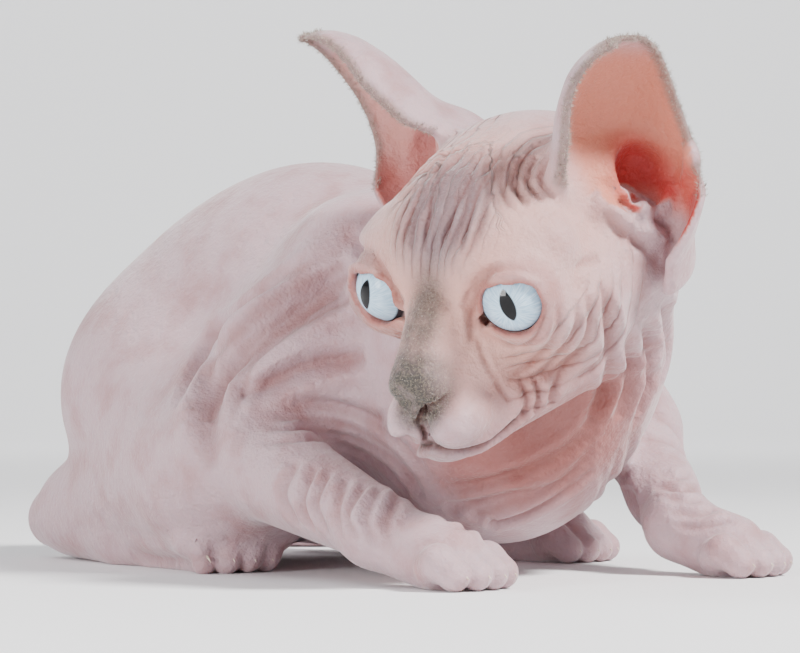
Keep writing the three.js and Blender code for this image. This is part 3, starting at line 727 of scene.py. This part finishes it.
# The skin: the form made a mesh, with its deeper folds pressed in, then thinned
def makeSkin():
    points, quads = meshFromForm(catForm, body["low"], body["high"], body["voxel"])
    print("skin lattice:", len(points), "points")
    strokes = allStrokes()
    print("creases placed:", len(strokes))
    skin = meshObject("skin", points, quads)
    normals = vertexNormals(skin)
    if (normals[points[:, 2].argmax()] @ (0, 0, 1)) < 0:
        skin.data.flip_normals()
        normals = -normals
    move, creaseTintAndShade, grooveShade = pressStrokes(points, strokes)
    points = points + normals * np.clip(move, *body["pressed"])[:, None]
    points = coverEyes(points)
    points[:, 2] = np.maximum(points[:, 2], 0)
    setPlaces(skin, points)
    floatAttribute(skin, "crease", creaseTintAndShade)
    floatAttribute(skin, "grooveShade", grooveShade)
    bpy.context.view_layer.objects.active = skin
    skin.select_set(True)
    thin = skin.modifiers.new("thin", "DECIMATE")
    thin.ratio = min(1, body["triangles"] / (2 * len(quads)))
    if thin.ratio < 1:
        bpy.ops.object.modifier_apply(modifier=thin.name)
    else:
        skin.modifiers.remove(thin)
    setPlaces(skin, toRow(vertexPlaces(skin)))
    skin.data.polygons.foreach_set("use_smooth", np.ones(len(skin.data.polygons), bool))
    print("skin:", len(skin.data.polygons), "faces")
    return skin


# Numbers flowing through a shader, joined up with ordinary arithmetic
class Wire:
    def __init__(self, tree, socket=None):
        self.tree, self.socket = tree, socket

    def node(self, kind, settings=None, inputs=None, output=0):
        made = self.tree.nodes.new(kind)
        for name, value in (settings or {}).items():
            setattr(made, name, value)
        for name, value in (inputs or {}).items():
            if isinstance(value, Wire):
                self.tree.links.new(value.socket, made.inputs[name])
            else:
                made.inputs[name].default_value = value
        return Wire(self.tree, made.outputs[output] if made.outputs else None)

    def maths(self, operation, *values):
        return self.node("ShaderNodeMath", {"operation": operation}, dict(enumerate(values)))

    def __add__(self, other):
        return self.maths("ADD", self, other)

    def __radd__(self, other):
        return self.maths("ADD", other, self)

    def __sub__(self, other):
        return self.maths("SUBTRACT", self, other)

    def __rsub__(self, other):
        return self.maths("SUBTRACT", other, self)

    def __mul__(self, other):
        return self.maths("MULTIPLY", self, other)

    def __rmul__(self, other):
        return self.maths("MULTIPLY", other, self)

    def __truediv__(self, other):
        return self.maths("DIVIDE", self, other)

    def __rtruediv__(self, other):
        return self.maths("DIVIDE", other, self)

    def __pow__(self, other):
        return self.maths("POWER", self, other)

    def between(self, low, high, toLow=0.0, toHigh=1.0):
        return self.node("ShaderNodeMapRange", {"interpolation_type": "SMOOTHSTEP"},
                         {0: self, 1: low, 2: high, 3: toLow, 4: toHigh})

    def mix(self, a, b):
        return self.node("ShaderNodeMix", {"data_type": "RGBA"}, {0: self, 6: a, 7: b}, 2)

    def noise(self, size, detail=2.0):
        return self.node("ShaderNodeTexNoise", {}, {"Vector": self, "Scale": 1 / size, "Detail": detail})

    def attribute(self, name):
        return self.node("ShaderNodeAttribute", {"attribute_name": name}, output=2)


# An empty material with the colour that it has in a plain view
def newMaterial(name, display):
    material = bpy.data.materials.new(name)
    material.use_nodes = True
    material.diffuse_color = (*display, 1)
    material.node_tree.nodes.clear()
    return material, Wire(material.node_tree)


# Ends a material in one shader with these values and wires in its sockets
def finishMaterial(wire, inputs):
    shader = wire.node("ShaderNodeBsdfPrincipled", {}, inputs)
    wire.node("ShaderNodeOutputMaterial", {}, {"Surface": shader})


# Colours, then the sizes of the noises and the heights of the bumps in metres
skinLook = {
    "pale": (.45, .31, .335, 1), "face": (.56, .30, .25, 1), "rosy": (.27, .075, .058, 1),
    "lilac": (.165, .13, .15, 1), "rim": (.20, .13, .11, 1), "grey": (.036, .031, .027, 1),
    # The near-black is painted shade for deep, narrow grooves; the red-brown of folds is partly the skin's
    # own redness and partly painted shade
    "grooveShade": (.035, .018, .016, 1), "straw": (.15, .122, .088, 1), "fold": (.17, .045, .034, 1),
    # Inside the ears: an orange lining, partly the skin's own tone and partly a painted glow of light through
    # the thin ear, and a deeper red canal, partly its own red skin and partly painted shade
    "earDeepShade": (.36, .025, .022, 1), "earWarmGlow": (.54, .17, .10, 1), "roughness": .58,
    "mottle": .012, "stipple": .0006, "blotch": .004, "stray": .009, "break": .02, "down": .0007,
    "pores": .0016, "downHeight": .00022, "foldHeight": .0017, "blotchHeight": .0008,
    "strandHeight": .0003, "poreHeight": .0004,
}


# Bare skin: mottled, painted by the masks, with folds where a family's count passes a whole number.
# A fold's share is the cube of 1 less its distance from the fold line, times the family's depth.
def skinMaterial():
    material, wire = newMaterial("bareSkin", skinLook["pale"][:3])
    place = wire.node("ShaderNodeTexCoord", output=3)
    mottle = place.noise(skinLook["mottle"], 4)
    colour = (mottle.between(.40, .75) * .4).mix(skinLook["pale"], skinLook["rosy"])
    colour = wire.attribute("face").mix(colour, skinLook["face"])
    colour = (wire.attribute("rosy") * .85).mix(colour, skinLook["rosy"])
    colour = (wire.attribute("lilac") * .85).mix(colour, skinLook["lilac"])
    stipple = place.noise(skinLook["stipple"], 2).between(.42, .66)
    noseColour = (stipple * .7).mix(skinLook["grey"], skinLook["straw"])
    patchy = place.noise(skinLook["blotch"], 3).between(.2, .55, .75, 1)
    colour = (wire.attribute("grey") * patchy).mix(colour, noseColour)
    # Painted light in part: the ear's lining glows orange, as if lit through the thin ear
    colour = wire.attribute("earWarmGlow").mix(colour, skinLook["earWarmGlow"])
    # Partly painted shade: the ear canal's hollow goes a deeper red
    colour = wire.attribute("earDeepShade").mix(colour, skinLook["earDeepShade"])
    phase = wire.attribute("foldCount") + (place.noise(skinLook["stray"], 2) - .5) * .9
    ridge = phase.maths("PINGPONG", phase, .5) * 2
    depth = wire.attribute("foldDepth") * place.noise(skinLook["break"], 1).between(.3, .6, .35, 1)
    crease = (1 - ridge) ** 3 * depth
    # Folds and creases tinted a deep red-brown: partly the skin's own redness, partly painted shade in the
    # fold
    colour = (crease * .6).mix(colour, skinLook["fold"])
    colour = (wire.attribute("crease") * .95).mix(colour, skinLook["fold"])
    colour = (wire.attribute("rim") * .8).mix(colour, skinLook["rim"])
    # Painted shade: deep, narrow grooves such as the mouth line and nostrils turn near-black
    colour = wire.attribute("grooveShade").mix(colour, skinLook["grooveShade"])
    down = place.noise(skinLook["down"], 3)
    strand = (phase * 3).maths("PINGPONG", phase * 3, .5) * depth
    blotch, pores = place.noise(skinLook["blotch"], 3), place.noise(skinLook["pores"], 2)
    height = (down * skinLook["downHeight"] - crease * skinLook["foldHeight"]
              + blotch * skinLook["blotchHeight"] + strand * skinLook["strandHeight"]
              + pores * skinLook["poreHeight"])
    bump = wire.node("ShaderNodeBump", {}, {"Strength": 1, "Distance": 1, "Height": height})
    finishMaterial(wire, {
        "Base Color": colour, "Roughness": skinLook["roughness"], "Normal": bump, "IOR": 1.4,
        "Subsurface Weight": .15, "Subsurface Radius": (1, .35, .2), "Subsurface Scale": .0025,
        "Sheen Weight": .25, "Sheen Roughness": .4})
    return material


# Markings: the centre, half sizes and softness of each spot, that of the chest in the body's frame
markings = {"noseTip": ((0, -49, -14), (12, 17, 17), .5), "noseBridge": ((0, -40, 2), (9.5, 20, 20), .7),
            "brow": ((0, -18, 22), (20, 26, 26), .6), "lips": ((0, -44, -31), (15, 17, 11), .7),
            "face": ((0, -5, 0), (45, 60, 50), .5), "chest": ((16, 16, 50), (62, 48, 44), .6)}


# Markings and folds at each point of the skin, from its place in the body's and the head's frames
def paintSkin(skin):
    p = fromRow(vertexPlaces(skin))
    n = vertexNormals(skin)
    q = toHead(p.astype(np.float32)).astype(float)
    nq = n @ headTurn
    s = halved(q)
    onNose = np.maximum(spot(s, *markings["noseTip"]), .85 * spot(s, *markings["noseBridge"]))
    floatAttribute(skin, "grey", np.maximum(onNose, .42 * spot(s, *markings["lips"])))
    floatAttribute(skin, "lilac", spot(s, *markings["brow"]))
    floatAttribute(skin, "face", spot(s, *markings["face"]))
    w = s - eyeCentre
    edge = np.maximum(*lidEdges(w))
    near = (w @ gaze > 2) & (np.linalg.norm(w, axis=1) < eye["radius"] + 6)
    lidRim = near * (np.exp(-(edge / 1.3) ** 2) + .45 * np.exp(-((edge - 3.6) / 1.6) ** 2))
    floatAttribute(skin, "rosy", np.maximum(spot(p, *markings["chest"]), np.clip(lidRim, 0, 1)))
    warmGlow, deep, rim = np.zeros(len(p)), np.zeros(len(p)), np.zeros(len(p))
    for ear in ears.values():
        x, y, height, v, radius, wrap = earPlace(q, ear)
        _, mouth, across = earFrame(ear)
        inward = -(nq @ across) * x - (nq @ mouth) * y
        mine = q[:, 0] * ear["side"] > 0
        reach, back = np.hypot(x, y), x * ear["side"]
        inside = (inward > 0) & (reach < radius + 2.5) & mine & (height > -12)
        inside = inside * ramp(inward / np.maximum(reach, 1), .1, .45) * ramp(height, 2, 9)
        # The lining: the skin's own orange-pink tone brightened into a painted glow of light shining through
        # the thin ear, stronger on the left ear
        lining = ear["warmGlow"] * inside * (1 - ramp(v, .75, 1)) * ramp(back, -15, -3) * .9
        warmGlow = np.maximum(warmGlow, lining)
        edge = marginGap(x, y, radius, wrap)
        near = mine & (reach < radius + 3) & (height < ear["length"] + 2)
        margin = np.maximum(1 - ramp(edge, .8, 3.5), ramp(v, .93, .99))
        rim = np.maximum(rim, near * ramp(height, 12, 24) * margin)
        # The canal's hollow is painted a deeper red: partly the canal's own red skin, partly painted shade in
        # the hollow
        canal = 1 - ramp(np.hypot((back - 10) / 12, (height - 11) / 14), .45, 1.15)
        deep = np.maximum(deep, ear["deep"] * inside * canal)
    floatAttribute(skin, "earWarmGlow", warmGlow)
    floatAttribute(skin, "earDeepShade", deep)
    floatAttribute(skin, "rim", rim)
    count, depth = np.zeros(len(p)), np.zeros(len(p))
    for familyCount, familyDepth in foldFamilies(q):
        count = np.where(familyDepth > depth, familyCount, count)
        depth = np.maximum(depth, familyDepth)
    floatAttribute(skin, "foldCount", count)
    floatAttribute(skin, "foldDepth", depth)


skin = makeSkin()
paintSkin(skin)
skin.data.materials.append(skinMaterial())
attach(skin, "root")
fleshNodes = ["head", "neck", "trunk", "foreleg_right", "foreleg_left", "hindleg_right", "hindleg_left",
              "tail", "ear_left", "ear_right"]
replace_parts(skin, *fleshNodes)


# Eyeball: a ball whose front is an iris and a bulging clear cornea. Sizes are in millimetres, and the map
# spans the front of the ball with its middle on the gaze.
eyeLook = {"iris": 8.5, "pupil": (2.1, 4.5), "middle": (0, .9), "tilt": .18,
           "pale": (.57, .72, .83, 1), "deep": (.30, .46, .61, 1),
           "limbus": (.02, .02, .025, 1), "white": (.62, .50, .48, 1), "cornea": 1.0,
           "corneaReach": 7.2, "proud": .03, "map": 30}


# The slit pupil is where the sum of two powers, of the share across and the share along, is under 1
def eyeMaterial():
    material, wire = newMaterial("eye", eyeLook["pale"][:3])
    uv = wire.node("ShaderNodeUVMap", {"uv_map": "eyeMap"})
    parts = wire.node("ShaderNodeSeparateXYZ", {}, {0: uv})
    x = (parts - .5) * eyeLook["map"]
    y = (Wire(wire.tree, parts.socket.node.outputs[1]) - .5) * eyeLook["map"]
    reach = (x * x + y * y) ** .5
    angle = y.maths("ARCTAN2", y, x)
    polar = wire.node("ShaderNodeCombineXYZ", {}, {0: angle * 14, 1: reach * .35})
    spokes = wire.node("ShaderNodeTexNoise", {"noise_dimensions": "2D"},
                       {"Vector": polar, "Scale": 1, "Detail": 4})
    iris = spokes.between(.25, .8).mix(eyeLook["deep"], eyeLook["pale"])
    iris = (reach / eyeLook["iris"]).between(.45, 1.0, 0, .35).mix(iris, eyeLook["deep"])
    width, tall = eyeLook["pupil"]
    along = y - eyeLook["middle"][1]
    tilted = x - eyeLook["middle"][0] + along * eyeLook["tilt"]
    slit = (x.maths("ABSOLUTE", tilted) / width) ** 1.4 + (y.maths("ABSOLUTE", along) / tall) ** 2
    colour = slit.between(.85, 1.1).mix((.003, .003, .004, 1), iris)
    colour = reach.between(eyeLook["iris"] - .5, eyeLook["iris"]).mix(colour, eyeLook["limbus"])
    colour = reach.between(eyeLook["iris"] + .6, eyeLook["iris"] + 1.4).mix(colour, eyeLook["white"])
    finishMaterial(wire, {
        "Base Color": colour, "Roughness": .35, "IOR": 1.4, "Specular IOR Level": 0,
        "Coat Weight": 1, "Coat Roughness": .015, "Coat IOR": 1.33})
    return material


# A ball turned so that its pole looks along the gaze, rings closer together at the front
def makeEye(name, sign, material):
    rings, spokes = 48, 64
    t = np.linspace(0, 1, rings + 1)[1:-1, None] ** 1.25 * math.pi
    a = np.linspace(0, 2 * math.pi, spokes, endpoint=False)[None]
    look, outward, upward = (way * (sign, 1, 1) for way in (gaze, gazeOut, gazeUp))
    bulge = np.exp(-(np.sin(t / 2) * 2 * eye["radius"] / eyeLook["corneaReach"]) ** 4)
    r = (eye["radius"] + eyeLook["proud"] + eyeLook["cornea"] * bulge)[..., None]
    shares = ((np.cos(t), look), (np.sin(t) * np.cos(a), outward), (np.sin(t) * np.sin(a), upward))
    ringPoints = sum(share[..., None] * way * r for share, way in shares).reshape(-1, 3)
    front = look * (eye["radius"] + eyeLook["proud"] + eyeLook["cornea"])
    back = -look * (eye["radius"] + eyeLook["proud"])
    local = np.concatenate([ringPoints, [front, back]])
    index, after, quads = ringQuads(rings - 1, spokes)
    top, bottom = (rings - 1) * spokes, (rings - 1) * spokes + 1
    caps = np.concatenate([np.stack([np.full(spokes, top), index[0], after[0], after[0]], -1),
                           np.stack([np.full(spokes, bottom), after[-1], index[-1], index[-1]], -1)])
    if sign < 0:
        quads, caps = quads[:, ::-1], caps[:, ::-1]
    centre = np.array((sign * eye["x"], eye["y"], eye["z"]))
    faces = quads.tolist() + [list(dict.fromkeys(f)) for f in caps.tolist()]
    ball = facedObject(name, toRow(fromHead(local + centre)), faces)
    flat = np.stack([local @ outward, local @ upward], 1) / eyeLook["map"] + .5
    corner = np.empty(len(ball.data.loops), np.int32)
    ball.data.loops.foreach_get("vertex_index", corner)
    ball.data.uv_layers.new(name="eyeMap").data.foreach_set("uv", flat[corner].astype(np.float32).ravel())
    ball.data.materials.append(material)
    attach(ball, "root")
    return ball


eyeSurface = eyeMaterial()
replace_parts(makeEye("eyeLeft", 1, eyeSurface), "eye_left")
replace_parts(makeEye("eyeRight", -1, eyeSurface), "eye_right")
print("eyes made")


# Claws: sheathed hooks, each a circle carried along a falling arc and shrinking to a point
clawLook = {"length": 4.0, "drop": 2.2, "radius": .8, "out": 14.0, "height": 5.6, "grain": .0012,
            "horn": (.55, .44, .34, 1), "tip": (.72, .62, .50, 1)}


def makeClaws():
    rings, sides = 8, 8
    along = np.linspace(0, .96, rings)[:, None, None]
    around = np.linspace(0, 2 * math.pi, sides, endpoint=False)[None, :, None]
    points, faces = [], []
    index, _, walls = ringQuads(rings, sides)
    radius = clawLook["radius"] * (1 - along) ** .7
    up = np.array((0, 0, 1))
    for paw in paws:
        _, knuckle, ahead, side = pawFrame(paw)
        for t in toes["shares"]:
            start = knuckle + side * t * toes["spread"] + ahead * (clawLook["out"] - toes["stagger"] * abs(t))
            start[2] = clawLook["height"]
            base = len(points) * rings * sides
            shell = (start + ahead * along * clawLook["length"] - up * clawLook["drop"] * along**2
                     + side * np.cos(around) * radius * .6 + up * np.sin(around) * radius)
            points.append(shell.reshape(-1, 3))
            faces += (walls + base).tolist()
            faces.append((index[0][::-1] + base).tolist())
            faces.append((index[-1] + base).tolist())
    claws = facedObject("claws", toRow(np.concatenate(points)), faces)
    shape = bmesh.new()
    shape.from_mesh(claws.data)
    bmesh.ops.recalc_face_normals(shape, faces=shape.faces)
    shape.to_mesh(claws.data)
    shape.free()
    material, wire = newMaterial("clawHorn", clawLook["horn"][:3])
    place = wire.node("ShaderNodeTexCoord", output=3)
    grain = place.noise(clawLook["grain"], 3)
    bump = wire.node("ShaderNodeBump", {}, {"Distance": 1, "Height": grain * .0001})
    colour = grain.between(.35, .65).mix(clawLook["horn"], clawLook["tip"])
    finishMaterial(wire, {"Base Color": colour, "Roughness": .34, "Normal": bump})
    claws.data.materials.append(material)
    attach(claws, "root")


makeClaws()
print("claws made")


# Down: short hairs on the ears' rims and on the nose, each a slim three-sided spike
downLook = {"rim": 5200, "nose": 3000, "rimLength": 1.5, "noseLength": .6, "thick": .07, "patch": .003,
            "root": (.22, .17, .145, 1), "tip": (.46, .39, .33, 1)}


# A hair's map is a small patch at the turn and rise of its root as seen from the head's middle
def makeDown(skin):
    rng = np.random.default_rng(5)
    p = fromRow(vertexPlaces(skin))
    n = vertexNormals(skin)
    q = toHead(p.astype(np.float32)).astype(float)
    rimChance = np.zeros(len(p))
    for ear in ears.values():
        x, y, height, _, radius, wrap = earPlace(q, ear)
        edge = marginGap(x, y, radius, wrap)
        rim = ((edge < 1.9) | (height > ear["length"] - 2)) & (height > 14) & (height < ear["length"] + 2)
        rimChance = np.maximum(rimChance, rim & (q[:, 0] * ear["side"] > 0) & (np.hypot(x, y) < radius + 3))
    grey = np.empty(len(p), np.float32)
    skin.data.attributes["grey"].data.foreach_get("value", grey)
    noseChance = (grey > .45) * (q[:, 2] > -22)
    picks = np.concatenate([rng.choice(len(p), downLook["rim"], p=rimChance / rimChance.sum()),
                            rng.choice(len(p), downLook["nose"], p=noseChance / noseChance.sum())])
    onRim = np.arange(len(picks)) < downLook["rim"]
    long = np.where(onRim, downLook["rimLength"], downLook["noseLength"]) * rng.uniform(.5, 1.1, len(picks))
    lean = np.where(onRim[:, None], (0, 0, .35), (0, 0, .1)) + rng.normal(scale=.35, size=(len(picks), 3))
    way = n[picks] + lean
    way /= np.linalg.norm(way, axis=1)[:, None]
    across = np.cross(way, rng.normal(size=way.shape))
    across /= np.linalg.norm(across, axis=1)[:, None]
    other = np.cross(way, across)
    root = p[picks] + rng.normal(scale=.25, size=way.shape) * (1 - np.abs(n[picks])) - n[picks] * .12
    corners = [root + (across * math.cos(a) + other * math.sin(a)) * downLook["thick"]
               for a in (0, 2 * math.pi / 3, 4 * math.pi / 3)]
    tip = root + way * long[:, None]
    points = np.stack([*corners, tip], 1).reshape(-1, 3)
    points[:, 2] = np.maximum(points[:, 2], .05)
    first = np.arange(len(picks))[:, None] * 4
    faces = np.concatenate([first + f for f in ([0, 1, 3], [1, 2, 3], [2, 0, 3], [0, 2, 1])])
    down = meshObject("down", toRow(points), faces, False)
    away = root - fromHead((0, 0, 0))
    turned = np.arctan2(away[:, 1], away[:, 0]) / (2 * math.pi) + .5
    risen = np.arctan2(away[:, 2], np.hypot(away[:, 0], away[:, 1])) / math.pi + .5
    half = downLook["patch"] / 2
    patch = np.array([(-half, -half), (half, -half), (0, half), (0, 0)])
    corner = np.empty(len(down.data.loops), np.int32)
    down.data.loops.foreach_get("vertex_index", corner)
    uv = np.stack([turned, risen], 1)[corner // 4] + patch[corner % 4]
    uv = np.clip(uv, 0, 1).astype(np.float32)
    down.data.uv_layers.new(name="OFBake").data.foreach_set("uv", uv.ravel())
    material, wire = newMaterial("down", downLook["tip"][:3])
    place = wire.node("ShaderNodeTexCoord", output=3)
    colour = place.noise(.0015, 2).between(.35, .65).mix(downLook["root"], downLook["tip"])
    finishMaterial(wire, {"Base Color": colour, "Roughness": .7})
    down.data.materials.append(material)
    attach(down, "root")


makeDown(skin)
print("down made")


# The lens is the sensor's 36 mm times the distance over the width that the picture spans
def makeCamera():
    right, up, back, aim = shotFrame()
    scale = shot["metresPerPixel"]
    camera = bpy.data.cameras.new("camera")
    camera.lens = 36 * shot["distance"] / (shot["width"] * scale)
    camera.clip_start = .01
    holder = linked("camera", camera)
    holder.matrix_world = Matrix.Translation(aim + back * shot["distance"]) @ Matrix(
        ((right.x, up.x, back.x, 0), (right.y, up.y, back.y, 0), (right.z, up.z, back.z, 0), (0, 0, 0, 1)))
    bpy.context.scene.camera = holder


floorColour = (.86, .86, .87, 1)


# Floor: a wide flat disc whose rim curves up into a pale wall all round
def makeFloor():
    turnSteps = 96
    t = np.linspace(0, math.pi / 2, 12)
    curve = np.stack([2.8 + 1.2 * np.sin(t), 1.2 - 1.2 * np.cos(t)], 1)
    profile = np.concatenate([[[.4, 0], [1.2, 0], [2.4, 0]], curve, [[4.0, 2.4], [4.0, 4.2]]])
    a = np.linspace(0, 2 * math.pi, turnSteps, endpoint=False)
    ring = np.stack([profile[:, None, 0] * np.cos(a), profile[:, None, 0] * np.sin(a),
                     np.repeat(profile[:, 1:], turnSteps, 1)], -1).reshape(-1, 3)
    index, after, quads = ringQuads(len(profile), turnSteps)
    middle = np.stack([np.full(turnSteps, len(ring)), index[0], after[0], after[0]], -1)
    faces = quads.tolist() + [list(dict.fromkeys(f)) for f in middle.tolist()]
    floor = facedObject("floor", np.concatenate([ring, [[0, 0, 0]]]), faces)
    material, wire = newMaterial("paleFloor", floorColour[:3])
    finishMaterial(wire, {"Base Color": floorColour, "Roughness": .7})
    floor.data.materials.append(material)


# Lamps: places and sizes in metres, power in watts; the last one lights the floor's far wall
light = {"key": {"at": (.35, -1.1, 1.25), "size": (.35, .35), "power": 66, "colour": (1, .985, .97)},
         "glint": {"at": (-1.0, -.17, .16), "size": (.32, .40), "power": 10, "colour": (1, 1, 1)},
         "rim": {"at": (-.6, 1.2, 1.1), "size": (1.2, .8), "power": 16, "colour": (.97, .98, 1)},
         "wash": {"at": (1.3, 1.4, 1.9), "size": (1.6, 1.2), "power": 60, "colour": (1, 1, 1),
                  "towards": (3.2, 3.4, .3)}}
daylight = {"colour": (.86, .88, .92, 1), "strength": .27}


# Oblong lamps turned to face the cat, or their own aim, and an even light from all round
def makeLights():
    for name, facts in light.items():
        lamp = bpy.data.lights.new(name, "AREA")
        lamp.shape = "RECTANGLE"
        lamp.size, lamp.size_y = facts["size"]
        lamp.energy = facts["power"]
        lamp.color = facts["colour"]
        holder = linked(name, lamp)
        holder.location = facts["at"]
        towards = Vector(facts.get("towards", (0, 0, .08))) - holder.location
        holder.rotation_euler = towards.to_track_quat("-Z", "Y").to_euler()
    world = bpy.data.worlds.new("daylight")
    bpy.context.scene.world = world
    world.use_nodes = True
    background = world.node_tree.nodes["Background"]
    background.inputs["Color"].default_value = daylight["colour"]
    background.inputs["Strength"].default_value = daylight["strength"]


makeCamera()
makeFloor()
makeLights()
